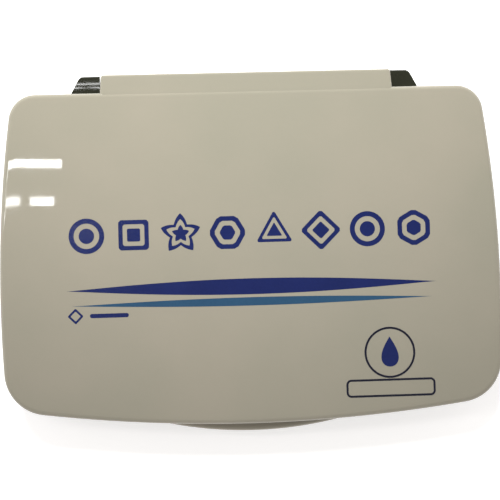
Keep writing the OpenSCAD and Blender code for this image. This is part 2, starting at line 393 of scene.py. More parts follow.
def flip_copy(piece):
    """A copy mirrored to the other side."""
    mesh = piece.data.copy()
    mesh.transform(Matrix.Diagonal((-1, 1, 1, 1)))
    mesh.flip_normals()
    return placed(piece.name + "_left", mesh)


def finished(piece, material, body, replaces=(), angle=32):
    """Shading, material and place in the frame for a piece whose shape is ready."""
    piece.data.shade_smooth()
    piece.data.set_sharp_from_angle(angle=math.radians(angle))
    weighted = piece.modifiers.new("normals", "WEIGHTED_NORMAL")
    weighted.keep_sharp = True
    piece.data.materials.clear()
    piece.data.materials.append(material)
    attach(piece, body)
    if replaces:
        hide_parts(*replaces)
    return piece


# ---------- materials ----------


def shader_node(tree, kind, values=None, **settings):
    """A node with its settings, whose inputs are linked from sockets or set to constants."""
    made = tree.nodes.new(kind)
    for key, value in settings.items():
        setattr(made, key, value)
    for key, value in (values or {}).items():
        if isinstance(value, bpy.types.NodeSocket):
            tree.links.new(value, made.inputs[key])
        else:
            made.inputs[key].default_value = value
    return made


class Paint:
    """A Principled material and the nodes that feed it. Lengths are in millimetres of object space."""

    def __init__(self, name, roughness=0.4, **constants):
        self.material = bpy.data.materials.new(name)
        self.material.use_nodes = True
        self.tree = self.material.node_tree
        self.shader = self.tree.nodes["Principled BSDF"]
        self.shader.inputs["Roughness"].default_value = roughness
        for key, value in constants.items():
            self.shader.inputs[key.replace("_", " ")].default_value = value
        place = self.node("ShaderNodeTexCoord").outputs["Object"]
        self.place = self.vector("MULTIPLY", place, (1 / MM,) * 3)

    def node(self, kind, values=None, **settings):
        return shader_node(self.tree, kind, values, **settings)

    def math(self, operation, a, b=0.0, c=0.0):
        return self.node("ShaderNodeMath", {0: a, 1: b, 2: c}, operation=operation).outputs[0]

    def vector(self, operation, a, b):
        return self.node("ShaderNodeVectorMath", {0: a, 1: b}, operation=operation).outputs[0]

    def stretched(self, x=1.0, y=1.0, z=1.0):
        return self.vector("MULTIPLY", self.place, (x, y, z))

    def noise(self, size, detail=2.0, place=None, roughness=0.5, seed=0.0):
        at = place or self.place
        if seed:
            at = self.vector("ADD", at, (seed,) * 3)
        values = {"Vector": at, "Scale": 1 / size, "Detail": detail, "Roughness": roughness}
        return self.node("ShaderNodeTexNoise", values).outputs["Fac"]

    def cells(self, size, feature="F1", output="Distance"):
        values = {"Vector": self.place, "Scale": 1 / size}
        return self.node("ShaderNodeTexVoronoi", values, feature=feature).outputs[output]

    def ranged(self, value, low, high, to_low=0.0, to_high=1.0):
        """value's stretch from low to high, spread from to_low to to_high."""
        values = {0: value, 1: low, 2: high, 3: to_low, 4: to_high}
        return self.node("ShaderNodeMapRange", values).outputs[0]

    def cloud(self, size, detail=3.0, seed=0.0):
        """Soft patches of about that size, from 0 to 1."""
        return self.ranged(self.noise(size, detail, seed=seed), 0.35, 0.65)

    def drifting(self, size, low, high, detail=3.0, seed=0.0):
        """A value that wanders between low and high."""
        return self.ranged(self.noise(size, detail, seed=seed), 0.3, 0.7, low, high)

    def mixed(self, share, a, b):
        """Colour a where share is 0, and b where it is 1."""
        a, b = ((*colour, 1.0) if isinstance(colour, tuple) else colour for colour in (a, b))
        return self.node("ShaderNodeMix", {0: share, 6: a, 7: b}, data_type="RGBA").outputs[2]

    def coloured(self, colour):
        self.tree.links.new(colour, self.shader.inputs["Base Color"])
        return self

    def rough(self, value):
        self.tree.links.new(value, self.shader.inputs["Roughness"])
        return self

    def bumps(self, *layers):
        """Each layer is (height from 0 to 1, depth in millimetres)."""
        normal = None
        for height, depth in layers:
            values = {"Height": height, "Distance": depth * MM, "Strength": 1.0}
            if normal:
                values["Normal"] = normal
            normal = self.node("ShaderNodeBump", values).outputs[0]
        self.tree.links.new(normal, self.shader.inputs["Normal"])
        return self


def scuffs(paint, seed):
    """Fine hair scratches that run in two directions, from 0 to 1."""
    fine = None
    for turn in (0.5, -1.1):
        values = {"Vector": paint.place, "Angle": turn}
        turned = paint.node("ShaderNodeVectorRotate", values, rotation_type="Z_AXIS")
        long = paint.vector("MULTIPLY", turned.outputs[0], (1.0, 0.03, 0.3))
        hair = paint.ranged(paint.noise(0.25, 1.0, long, seed=seed + turn), 0.70, 0.78)
        fine = hair if fine is None else paint.math("MAXIMUM", fine, hair)
    patch = paint.ranged(paint.noise(14, 2.0, seed=seed), 0.5, 0.68)
    return paint.math("MULTIPLY", fine, patch)


def glossy_plastic(name, light, dark, fleck, seed):
    """Moulded glossy plastic with cloudy colour, fine flecks of regrind and faint hair scratches."""
    paint = Paint(name, IOR=1.46)
    fine = paint.drifting(1.2, 0.0, 1.0, seed=seed)
    share = paint.math("MULTIPLY_ADD", fine, 0.12, paint.math("MULTIPLY", paint.cloud(34, seed=seed), 0.88))
    base = paint.mixed(share, light, dark)
    specks = paint.ranged(paint.cells(0.85), 0.0, 0.09, 1.0, 0.0)
    chosen = paint.ranged(paint.noise(2.2, 1.0, seed=seed + 4), 0.60, 0.66)
    specks = paint.math("MULTIPLY", paint.math("MULTIPLY", specks, chosen), 0.35)
    scratched = scuffs(paint, seed + 7)
    paint.coloured(paint.mixed(specks, base, fleck))
    paint.rough(paint.math("MULTIPLY_ADD", scratched, 0.10, paint.drifting(9, 0.015, 0.035, seed=seed + 2)))
    return paint.bumps((paint.noise(8.0, 1.0, seed=seed + 1), 0.0009), (scratched, -0.0006)).material


def grained_plastic(name, light, dark, grain, depth, low, high, seed):
    """Moulded plastic with a spark-eroded grain of that size and depth, and roughness from low to high."""
    paint = Paint(name, IOR=1.48)
    cloud = paint.math("MULTIPLY", paint.cloud(18, seed=seed), 0.75)
    pits = paint.noise(grain, 2.0, seed=seed, roughness=0.6)
    share = paint.math("MULTIPLY_ADD", paint.ranged(pits, 0.35, 0.65), 0.25, cloud)
    paint.coloured(paint.mixed(share, light, dark))
    paint.rough(paint.drifting(6, low, high, seed=seed + 3))
    return paint.bumps((paint.noise(11, 1.0, seed=seed + 1), 0.01), (pits, depth)).material


def tray_plastic():
    """Milky plastic, stained by ink from its floor up."""
    paint = Paint("tray_plastic", IOR=1.49, Subsurface_Weight=0.15, Subsurface_Scale=0.002)
    milky = paint.mixed(paint.cloud(12), (0.66, 0.65, 0.61), (0.58, 0.57, 0.54))
    height = paint.node("ShaderNodeSeparateXYZ", {0: paint.place}).outputs[2]
    edge = paint.math("MULTIPLY_ADD", paint.noise(5, 4.0, seed=3), 4.0, height)
    stain = paint.ranged(edge, FLOOR_Z + 3.0, FLOOR_Z + 7.5, 0.9, 0.0)
    paint.coloured(paint.mixed(stain, milky, (0.02, 0.03, 0.16)))
    paint.rough(paint.drifting(3, 0.28, 0.42))
    return paint.bumps((paint.noise(0.5, 2.0), 0.004)).material


def liner_plastic():
    """Pale satin plastic with a faint blue haze where the damp air over the pad has reached it."""
    paint = Paint("liner_plastic", IOR=1.49)
    pale = paint.mixed(paint.cloud(20, seed=2), (0.60, 0.575, 0.51), (0.54, 0.52, 0.47))
    haze = paint.ranged(paint.noise(16, 4.0, seed=8), 0.42, 0.75, 0.0, 0.30)
    paint.coloured(paint.mixed(haze, pale, (0.28, 0.33, 0.52)))
    paint.rough(paint.drifting(5, 0.30, 0.45))
    return paint.bumps((paint.noise(0.45, 2.0), 0.004), (paint.noise(9, 1.0), 0.01)).material


def felt(name, size):
    """Needled felt soaked with ink: short fibres lying every way, and small pores."""
    paint = Paint(name, roughness=0.8, Sheen_Weight=0.15, Sheen_Roughness=0.5)
    fibres = paint.noise(size, 4.0, paint.stretched(1.0, 0.35, 1.0), 0.7)
    crossed = paint.noise(size, 4.0, paint.stretched(0.35, 1.0, 1.0), 0.7, seed=5)
    tangle = paint.math("MAXIMUM", fibres, crossed)
    wet = paint.cloud(7, seed=9)
    share = paint.math("MULTIPLY", paint.ranged(tangle, 0.42, 0.70), paint.ranged(wet, 0, 1, 0.55, 1.0))
    paint.coloured(paint.mixed(share, (0.008, 0.012, 0.085), (0.045, 0.065, 0.26)))
    paint.rough(paint.ranged(wet, 0, 1, 0.45, 0.85))
    return paint.bumps((tangle, 0.12)).material


WEAVE_PITCH = 0.62  # distance between threads


def inked_cloth():
    """Plain-woven cloth wet with ink: warp over weft in one cell, and weft over warp in the next, with
    painted shade in the weave's hollows.
    """
    paint = Paint("inked_cloth", IOR=1.4, Sheen_Weight=0.1, Sheen_Roughness=0.4)
    drift = paint.noise(6, 2.0, seed=1)
    apart = paint.node("ShaderNodeSeparateXYZ", {0: paint.place})
    cells, waves = [], []
    for k, shift in ((0, 0.25), (1, -0.25)):
        along = paint.math("MULTIPLY_ADD", drift, shift, paint.math("DIVIDE", apart.outputs[k], WEAVE_PITCH))
        cells.append(paint.math("FLOOR", along))
        waves.append(paint.math("SINE", paint.math("MULTIPLY", paint.math("FRACT", along), math.pi)))
    parity = paint.math("FLOORED_MODULO", paint.math("ADD", *cells), 2.0)
    warp = paint.math("MULTIPLY", waves[0], paint.ranged(waves[1], 0, 1, 0.45, 1.0))
    weft = paint.math("MULTIPLY", waves[1], paint.ranged(waves[0], 0, 1, 0.45, 1.0))
    chosen = paint.node("ShaderNodeMix", {0: parity, 2: warp, 3: weft}).outputs[0]
    fluff = paint.noise(0.12, 2.0, seed=6)
    height = paint.math("MULTIPLY_ADD", fluff, 0.25, chosen)
    wet = paint.ranged(paint.noise(13, 4.0, seed=12), 0.40, 0.66)
    # Painted shade: the weave's low parts, between threads and where one dips under another, are painted
    # darker than its raised tops.
    shaded_thread = paint.mixed(paint.ranged(height, 0.3, 1.1), (0.004, 0.006, 0.045), (0.030, 0.045, 0.24))
    paint.coloured(paint.mixed(paint.math("MULTIPLY", wet, 0.65), shaded_thread, (0.006, 0.008, 0.07)))
    paint.rough(paint.ranged(wet, 0, 1, 0.62, 0.30))
    return paint.bumps((height, 0.10)).material


def rubber(name, tone, size):
    """Matte rubber with a fine dusty bloom."""
    paint = Paint(name, IOR=1.5)
    dust = paint.ranged(paint.noise(4, 4.0, seed=3), 0.4, 0.7)
    paint.coloured(paint.mixed(dust, (tone,) * 3, (tone * 1.9, tone * 1.85, tone * 1.75)))
    paint.rough(paint.ranged(dust, 0, 1, 0.55, 0.8))
    return paint.bumps((paint.noise(size, 3.0), 0.015)).material


def drawn_steel():
    """Steel wire drawn through a die, with fine lines along its length."""
    paint = Paint("drawn_steel", Metallic=1.0)
    lines = paint.noise(0.12, 2.0, paint.stretched(0.02, 1.0, 1.0))
    dull = paint.ranged(paint.noise(1.5, 2.0), 0.4, 0.7)
    paint.coloured(paint.mixed(dull, (0.60, 0.60, 0.61), (0.46, 0.45, 0.44)))
    paint.rough(paint.ranged(lines, 0.3, 0.7, 0.22, 0.42))
    return paint.bumps((lines, 0.004)).material


def paper():
    """Uncoated label paper: soft fibres and slightly grubby patches."""
    paint = Paint("label_paper", roughness=0.85)
    fibres = paint.noise(0.35, 4.0, paint.stretched(1.0, 0.4, 1.0), 0.7)
    grubby = paint.ranged(paint.noise(10, 3.0, seed=4), 0.45, 0.75, 0.0, 0.5)
    clean = paint.mixed(paint.ranged(fibres, 0.35, 0.65), (0.80, 0.78, 0.72), (0.73, 0.71, 0.65))
    paint.coloured(paint.mixed(grubby, clean, (0.58, 0.55, 0.49)))
    return paint.bumps((fibres, 0.01)).material


def print_ink(name, light, dark):
    """Pad-printed ink on the glossy lid, with the faint unevenness of the print."""
    paint = Paint(name, IOR=1.46)
    broad = paint.math("MULTIPLY", paint.cloud(12, 2.0, seed=5), 0.6)
    share = paint.math("MULTIPLY_ADD", paint.cloud(0.6), 0.4, broad)
    paint.coloured(paint.mixed(share, light, dark))
    paint.rough(paint.drifting(0.8, 0.16, 0.26, detail=2.0, seed=2))
    return paint.bumps((paint.noise(0.5, 2.0), 0.002)).material


# ---------- lid ----------


def lid_body():
    """The lid's wall and top as one closed shell, from the underside of its top round to the upper face."""
    profile = [
        (LID_WALL + 4, LID_ROOF_Z),
        (LID_WALL, LID_ROOF_Z, 1.0),
        (LID_WALL, LID_Z, 0.3),
        (0, LID_Z, 0.3),
        (0, TOP_Z, LID_EDGE_R),
        (LID_EDGE_R + 1.5, TOP_Z),
    ]
    return solid("lid_shell_moulded", outline, profile, steps=8)


def hinge_hood():
    """A downward-opening channel behind the lid, with a lug at each end for the pin."""
    back = REAR_Y + HOOD_OUT
    foot = HINGE_Z - LUG_R
    embedded = 1.0
    depth = HOOD_OUT + embedded
    plan = rounded_rect(HOOD_HALF_W - HOOD_DRAFT / 2, depth / 2, 0.6, back - depth / 2)

    def drafted(inset):
        """The plan, with its ends leaning in towards the back."""
        ring = plan(inset)
        lean = (back - ring[:, 1]) / depth - 0.5
        at_end = np.sign(ring[:, 0]) * (abs(ring[:, 0]) > 30)
        return ring + np.column_stack([at_end * lean * HOOD_DRAFT, lean * 0])

    hood = solid("hood", drafted, [(0, foot), (0, HOOD_TOP_Z, 0.6), (1.2, HOOD_TOP_Z)], steps=6)
    bay_x = HOOD_HALF_W - HOOD_END_WALL
    bay_back = back - HOOD_WALL
    bay_depth = bay_back - REAR_Y + 2
    bay = rounded_rect(bay_x, bay_depth / 2, 0.5, bay_back - bay_depth / 2)
    bay_top = HOOD_TOP_Z - HOOD_WALL
    cut(hood, solid("bay", bay, [(0, foot - 1), (0, bay_top, 0.5), (1, bay_top)]))
    wide, clear_back = HOOD_HALF_W + 1, REAR_Y + HOOD_CUT
    clearance = [(-wide, REAR_Y - 2), (wide, REAR_Y - 2), (wide, clear_back), (-wide, clear_back)]
    cut(hood, prism("clearance", clearance, foot - 1, LID_Z))
    lug = rod("lug", LUG_R, HOOD_HALF_W - LUG_W, HOOD_HALF_W - HOOD_DRAFT, 0.25)
    return add(hood, flip_copy(lug), lug)


def thumb_lip():
    """The crescent in front of the lid that a thumb lifts it by, with its upper edge well rounded."""
    embedded = 0.9
    centre, back_r = (0, FRONT_Y - LIP_OUT + LIP_R), FRONT_R - embedded

    def crescent(inset):
        corner = meet_sideways(centre, LIP_R - inset, FRONT_C, back_r)
        reach, back_reach = bearing(centre, corner), bearing(FRONT_C, corner)
        front = arc(centre, LIP_R - inset, -180 - reach, reach, 60)
        return np.concatenate([front, arc(FRONT_C, back_r, back_reach, -180 - back_reach, 40)])

    top = LID_Z + LIP_T
    return solid("lip", crescent, [(1, LID_Z), (0, LID_Z, 0.25), (0, top, 1.2), (1.8, top)], steps=8)


def meet_sideways(c0, r0, c1, r1):
    """The right-hand point where two circles centred on the same upright line cross."""
    gap = c1[1] - c0[1]
    along = (r0 * r0 - r1 * r1 + gap * gap) / (2 * gap)
    return (math.sqrt(r0 * r0 - along * along), c0[1] + along)


def peg(at):
    """A peg under the lid's top, with the flat dome of its heat stake below the inner lid."""
    liner_low = box("lid_liner")[0][2] + RIB_DROP
    profile = [(1.7, liner_low - 0.35), (0.9, liner_low - 0.35), (0.35, liner_low - 0.12), (0.3, liner_low)]
    profile += [(0.8, liner_low), (0.8, LID_ROOF_Z + 0.4)]
    return solid("peg", circle(PEG_R + 0.8, (at[0], at[1] + MID_Y), 28), profile)


def make_lid(material):
    lid = lid_body()
    add(lid, thumb_lip(), hinge_hood())
    cut(lid, rod("bore", LUG_BORE_R, -HOOD_HALF_W - 1, HOOD_HALF_W + 1))
    add(lid, *[peg(at) for at in PEGS])
    return finished(lid, material, "lid", ["lid_shell"])


def make_liner(material):
    half_x, half_y, low, high = extent("lid_liner")
    plate_low = high - LINER_T
    outside = rounded_rect(half_x, half_y, LINER_R)
    profile = [(LINER_R, plate_low), (0, plate_low, 0.3), (0, high, 0.3), (LINER_R, high)]
    liner = solid("lid_liner_moulded", outside, profile)
    rib_top = plate_low + 0.3
    rib_profile = [(0, rib_top), (RIB_W, rib_top), (RIB_W, low, 0.3), (0, low, 0.3)]
    add(liner, solid("rib", rounded_rect(RIB_X, RIB_Y, RIB_CORNER_R), rib_profile, looped=True))
    cut(liner, *[post("hole", PEG_R + 0.1, at, plate_low - 1, high + 1) for at in PEGS])
    return finished(liner, material, "lid", ["lid_liner"])


def make_gasket(material):
    """A channel of rubber pushed over the inner lid's rib, with a rounded sealing edge."""
    half_x, half_y, low, high = extent("lid_gasket")
    rib_foot = box("lid_liner")[0][2]
    lip, rib = GASKET_LIP, RIB_W
    outside = rounded_rect(half_x, half_y, RIB_CORNER_R + lip)
    profile = [
        (0, low, 0.9),
        (0, high, 0.3),
        (lip, high, 0.1),
        (lip, rib_foot),
        (lip + rib, rib_foot),
        (lip + rib, high, 0.1),
        (2 * lip + rib, high, 0.3),
        (2 * lip + rib, low, 0.9),
    ]
    gasket = solid("lid_gasket_moulded", outside, profile, looped=True)
    return finished(gasket, material, "lid", ["lid_gasket"])


# ---------- base ----------


def knuckle():
    """A hinge knuckle: a block with a gently crowned top and a slanted outer end."""
    front = 0.4 - (HINGE_Y - REAR_Y)
    foot, shoulder = KNUCKLE_FOOT_Z - HINGE_Z, SHOULDER_Z - HINGE_Z
    side = [
        (-KNUCKLE_ROOT, foot, 0),
        (KNUCKLE_R / 2, foot, 0.6),
        (KNUCKLE_R, -LUG_R, 0.6),
        (KNUCKLE_R, KNUCKLE_R, 0.6),
    ]
    for y in np.linspace(1.2, -2.1, 12):
        side.append((y, KNUCKLE_R - (y - KNUCKLE_CREST) ** 2 / (2 * KNUCKLE_CROWN_R), 0))
    side += [
        (-2.5, KNUCKLE_R - 0.23, 0.5),
        (front, 0.6, 0.4),
        (front, shoulder, 0.05),
        (-KNUCKLE_ROOT, shoulder, 0),
    ]
    layers = []
    for out in (0, KNUCKLE_W):
        fall = out * math.tan(math.radians(KNUCKLE_FALL))
        at_x = KNUCKLE_X + out
        layer = [(at_x, HINGE_Y + y, HINGE_Z + z - fall * (z > 0)) for y, z in softened(side, steps=8)]
        layers.append(np.array(layer))
    block = skin("knuckle", layers)
    outer = KNUCKLE_X + KNUCKLE_W
    back = HINGE_Y + KNUCKLE_R
    plan = [
        (KNUCKLE_X - 1, HINGE_Y - KNUCKLE_ROOT - 1, 0),
        (outer, HINGE_Y - KNUCKLE_ROOT - 1, 0),
        (outer, REAR_Y - 0.2, 8),
        (outer - KNUCKLE_LEAN + 0.25, back + 0.05, KNUCKLE_END_R),
        (KNUCKLE_X - 1, back + 0.05, 0),
    ]
    combine(block, prism("plan", softened(plan), 0, TOP_Z), "INTERSECT")
    return bevel(block, 0.28, 3, 40)


def fence():
    """The low wall on the base's floor that locates the ink tray."""
    half_x, half_y, _, _ = extent("pad_tray")
    out = FENCE_W + FENCE_GAP
    root, top = FLOOR_Z - 0.5, FLOOR_Z + FENCE_H
    profile = [(0, root), (0, top, 0.25), (FENCE_W, top, 0.25), (FENCE_W, root)]
    return solid("fence", rounded_rect(half_x + out, half_y + out, TRAY_R + out), profile, looped=True)


def catch_bead():
    """The rounded bead on the front of the rim that the lid snaps over."""
    half_h = BEAD_HALF_H
    ring_r = FRONT_R - RIM_INSET
    reach = math.degrees(math.asin(BEAD_HALF_W / ring_r))
    layers = []
    for share in np.linspace(-1, 1, 25):
        fade = math.sqrt(max(0.02, 1 - share**4))
        out = BEAD_OUT * fade
        across = [(-0.5, -half_h), (0, -half_h), (out, -0.15), (out, 0.15), (0, half_h), (-0.5, half_h)]
        turn = math.radians(-90 + share * reach)
        layer = []
        for o, h in across:
            r = ring_r + o
            layer.append((r * math.cos(turn), FRONT_C[1] + r * math.sin(turn), BEAD_Z + h))
        layers.append(np.array(layer))
    return skin("catch_bead", layers)


def make_base(material):
    profile = [
        (CAP_INSET, BASE_Z),
        (BASE_INSET + BASE_DRAFT, BASE_Z, BASE_EDGE_R),
        (BASE_INSET, SHOULDER_Z, 0.3),
        (RIM_INSET, SHOULDER_Z, 0.1),
        (RIM_INSET, RIM_Z, 0.35),
        (CAVITY_INSET, RIM_Z, 0.35),
        (CAVITY_INSET, FLOOR_Z, 1.0),
        (CAP_INSET, FLOOR_Z),
    ]
    base = solid("base_shell_moulded", outline, profile, steps=6)
    right = knuckle()
    add(base, flip_copy(right), right, catch_bead(), fence())
    frame_low = box("cloth_frame")[1][2] - FRAME_LIP_H - FRAME_T
    add(base, *[post("boss", BOSS_R, at, FLOOR_Z - 0.5, frame_low) for at in BOSSES])
    cut(base, *[post("boss_hole", BOSS_HOLE_R, at, BOSS_HOLE_Z, RIM_Z + 1) for at in BOSSES])
    for name in FEET:
        low, high = box(name)
        at = ((low[0] + high[0]) / 2, (low[1] + high[1]) / 2 - MID_Y)
        cut(base, post("pocket", FOOT_POCKET_R, at, 0, high[2], 48))
    half_x, half_y, depth = LABEL_POCKET
    cut(base, solid("label_pocket", rounded_rect(half_x, half_y, LABEL_R), [(0, 0), (0, BASE_Z + depth)]))
    cut(base, rod("bore", KNUCKLE_BORE_R, -KNUCKLE_X - KNUCKLE_W - 1, KNUCKLE_X + KNUCKLE_W + 1))
    return finished(base, material, "base", ["base_shell"])


FEET = ["rubber_foot_" + end + "_" + side for end in ("front", "rear") for side in ("left", "right")]


def make_feet(material):
    """Rubber feet with a rounded rim and a shallow dish in the sole."""
    for name in FEET:
        low, high = box(name)
        centre = ((low[0] + high[0]) / 2, (low[1] + high[1]) / 2)
        radius = (high[0] - low[0]) / 2
        profile = [(3.9, low[2] + 0.15), (1.6, low[2] + 0.15), (1.1, low[2], 0.2), (0, low[2], 0.35)]
        profile += [(0, high[2], 0.15), (3.9, high[2])]
        foot = solid(name + "_moulded", circle(radius, centre, 56), profile)
        finished(foot, material, "base", [name])


def make_pins(material):
    for side in ("left", "right"):
        node = "hinge_pin_" + side
        low, high = box(node)
        pin = rod(node + "_drawn", (high[1] - low[1]) / 2, low[0], high[0], 0.15)
        finished(pin, material, "base", [node])


def make_label(material):
    half_x, half_y, low, high = extent("bottom_label")
    profile = [(LABEL_R, low), (0, low, 0.04), (0, high, 0.04), (LABEL_R, high)]
    label = solid("bottom_label_paper", rounded_rect(half_x, half_y, LABEL_R), profile)
    finished(label, material, "base", ["bottom_label"])


def make_frame(material):
    """The frame that clamps the cloth: a plate with a raised edge, a skirt and eight stakes."""
    low, high = box("cloth_frame")
    plate_z, lip_z, skirt_z = high[2] - FRAME_LIP_H, high[2], SHOULDER_Z + 0.2
    under_z = plate_z - FRAME_T
    edge, skirt = CAVITY_INSET + 0.3, CAVITY_INSET + 1.1
    outer = [
        (skirt + 0.8, under_z),
        (skirt, under_z, 0.2),
        (skirt, skirt_z, 0.2),
        (edge, skirt_z, 0.2),
        (edge, plate_z, 0.35),
        (edge + 1.5, plate_z),
    ]
    inner = [
        (-2, plate_z),
        (-FRAME_LIP_W, plate_z, 0.15),
        (-FRAME_LIP_W, lip_z, 0.2),
        (0, lip_z, 0.25),
        (0, under_z, 0.15),
        (-FRAME_LIP_W, under_z),
    ]
    opening = rounded_rect(OPEN_X, OPEN_Y, OPEN_R)
    holder = skin("cloth_frame_moulded", rings(outline, outer) + rings(opening, inner), looped=True)
    add(holder, *[post("stake", STAKE_R, at, low[2], under_z + 0.3) for at in BOSSES])
    return finished(holder, material, "base", ["cloth_frame"])


def make_tray(material):
    half_x, half_y, low, high = extent("pad_tray")
    wall, cap = TRAY_WALL, TRAY_CAP_INSET
    profile = [(cap, low), (0, low, 0.8), (0, high, 0.3), (wall, high, 0.3)]
    profile += [(wall, low + wall, 0.6), (cap, low + wall)]
    tray = solid("pad_tray_moulded", rounded_rect(half_x, half_y, TRAY_R), profile)
    return finished(tray, material, "base", ["pad_tray"])


# ---------- ink pad ----------


def inward(shape, z, first, last, count):
    """Flat rings that step inwards, from inset first to inset last."""
    return rings(shape, [(inset, z) for inset in np.linspace(first, last, count)])


def uneven(piece, size, depth, seed):
    """Moves every vertex a little along its normal, by smooth noise."""
    for v in piece.data.vertices:
        at = Vector(v.co) / (size * MM) + Vector((seed, 0, 0))
        v.co += v.normal * noise.noise(at) * depth * MM
    return piece


PAD_SPARE = 0.1  # how much smaller felt and sponge are than their CAD blocks, to leave room for the noise
PAD_R = 4.2
PAD_CAP_STEPS = 14
CROWN_H = 2.0  # how far the pad rises inside the opening


def make_sponge(material):
    half_x, half_y, low, high = extent("ink_sponge")
    shape = rounded_rect(half_x - PAD_SPARE, half_y - PAD_SPARE, PAD_R)
    layers = inward(shape, low + 0.05, half_y - 2, 0.6, PAD_CAP_STEPS)
    layers += rings(shape, [(0.6, low + 0.05), (0, low + 0.6), (0, high - 0.6), (0.6, high - 0.05)])
    layers += inward(shape, high - 0.05, 2.4, half_y - 2, PAD_CAP_STEPS)
    sponge = uneven(skin("ink_sponge_foam", layers), 2.0, 0.1, 3)
    finished(sponge, material, "base", ["ink_sponge"], angle=60)


def make_felt(material):
    half_x, half_y, low, high = extent("felt_pad")
    block = rounded_rect(half_x - PAD_SPARE, half_y - PAD_SPARE, PAD_R)
    crown = rounded_rect(OPEN_X - 0.9, OPEN_Y - 0.9, OPEN_R)
    ledge = high - CROWN_H
    layers = inward(block, low + 0.05, half_y - 2, 0.6, PAD_CAP_STEPS)
    layers += rings(block, [(0.6, low + 0.05), (0, low + 0.6), (0, ledge - 0.4), (0.4, ledge - 0.05)])
    layers += rings(crown, [(-0.6, ledge - 0.05), (0, ledge, 0.2), (2.2, high - 0.1, 0.8), (3, high - 0.08)])
    layers += inward(crown, high - 0.08, 4, OPEN_Y - 2, PAD_CAP_STEPS)
    felt_block = uneven(skin("felt_pad_needled", layers), 1.6, 0.06, 8)
    finished(felt_block, material, "base", ["felt_pad"], angle=60)
    return felt_block


CLOTH_T = 0.4
CLOTH_R = 4.7
CLOTH_DROP = 5.0  # how far the cloth is turned down inside the tray
CLOTH_STEP = 0.85  # distance between its points
CLOTH_SCALE = 20.0  # the simulation works at this many times real size
CLOTH_FRAMES = 24


def disc_corner(x, y, half_x, half_y, radius):
    """A point of a rectangle, eased so that the rectangle's corners become round."""
    a, b = abs(x) - (half_x - radius), abs(y) - (half_y - radius)
    if a <= 0 or b <= 0:
        return x, y
    new_a = a * math.sqrt(1 - b * b / (2 * radius**2))
    new_b = b * math.sqrt(1 - a * a / (2 * radius**2))
    return math.copysign(half_x - radius + new_a, x), math.copysign(half_y - radius + new_b, y)


def cover_height(x, y, ledge, top):
    """Height of the unstretched cover: level under the frame, then up over the felt's crown."""
    half_x, half_y, r = OPEN_X - 0.4, OPEN_Y - 0.4, OPEN_R
    a, b = abs(x) - (half_x - r), abs(y) - (half_y - r)
    inside = r - math.hypot(a, b) if a > 0 and b > 0 else min(half_x - abs(x), half_y - abs(y))
    share = min(max(inside / 2.6, 0), 1)
    return ledge + (top - ledge) * math.sin(share * math.pi / 2) ** 1.3


def cloth_points():
    """The cover's points in rows and columns, and which of them the frame and the tray hold."""
    half_x, half_y, low, top = extent("pad_cloth")
    ledge = top - CROWN_H
    reach_x, reach_y = half_x + CLOTH_DROP, half_y + CLOTH_DROP
    xs = np.linspace(-reach_x, reach_x, int(2 * reach_x / CLOTH_STEP))
    ys = np.linspace(-reach_y, reach_y, int(2 * reach_y / CLOTH_STEP))
    points, held = [], []
    for y in ys:
        for x in xs:
            over = max(abs(x) - half_x, abs(y) - half_y, 0)
            shrunk_x, shrunk_y = x * half_x / (half_x + over), y * half_y / (half_y + over)
            px, py = disc_corner(shrunk_x, shrunk_y, half_x, half_y, CLOTH_R)
            edge = min(half_x - abs(px), half_y - abs(py))
            z = cover_height(px, py, ledge, top)
            z -= over * (ledge - low) / CLOTH_DROP
            rounded = max(0, 1 - edge / 0.8) ** 2 if over == 0 else max(0, 1 - over / CLOTH_DROP)
            z -= 0.45 * rounded
            points.append((px, py + MID_Y, z))
            held.append(abs(px) > OPEN_X or abs(py) > OPEN_Y)
    return points, held, len(xs), len(ys)


def pull_taut(cover, held, block):
    """Cloth simulation: the held border stays, and the rest shrinks tight over the felt."""
    scene = bpy.context.scene
    flesh = placed("collider", block.data.copy())
    for thing in (cover, flesh):
        thing.data.transform(Matrix.Scale(CLOTH_SCALE, 4))
    flesh.modifiers.new("collision", "COLLISION")
    flesh.collision.thickness_outer = 0.35 * MM * CLOTH_SCALE
    flesh.collision.cloth_friction = 20
    group = cover.vertex_groups.new(name="held")
    group.add([k for k, h in enumerate(held) if h], 1.0, "REPLACE")
    cloth = cover.modifiers.new("cloth", "CLOTH")
    cloth.settings.vertex_group_mass = "held"
    cloth.settings.quality = 8
    cloth.settings.mass = 0.2
    cloth.settings.tension_stiffness = cloth.settings.compression_stiffness = 40
    cloth.settings.bending_stiffness = 0.6
    cloth.settings.shrink_min = 0.02
    cloth.settings.effector_weights.gravity = 0.3
    cloth.collision_settings.distance_min = 0.05 * MM * CLOTH_SCALE
    cloth.collision_settings.collision_quality = 4
    cloth.point_cache.frame_start, cloth.point_cache.frame_end = 1, CLOTH_FRAMES
    for step in range(1, CLOTH_FRAMES + 1):
        scene.frame_set(step)
    bake(cover)
    cover.vertex_groups.clear()
    cover.data.transform(Matrix.Scale(1 / CLOTH_SCALE, 4))
    bpy.data.objects.remove(flesh)
    scene.frame_set(1)


def make_cloth(material, block):
    """The cover cloth, stretched over the felt's edges and turned down inside the tray."""
    points, held, columns, rows = cloth_points()
    faces = []
    for r in range(rows - 1):
        for c in range(columns - 1):
            k = r * columns + c
            faces.append((k, k + 1, k + columns + 1, k + columns))
    cloth = mesh_object("pad_cloth_woven", points, faces)
    pull_taut(cloth, held, block)
    solidify = cloth.modifiers.new("thickness", "SOLIDIFY")
    solidify.thickness, solidify.offset = CLOTH_T * MM, -1
    bake(cloth)
    finished(cloth, material, "base", ["pad_cloth"], angle=70)


# ---------- print on the lid ----------

PRINT_T = 0.02


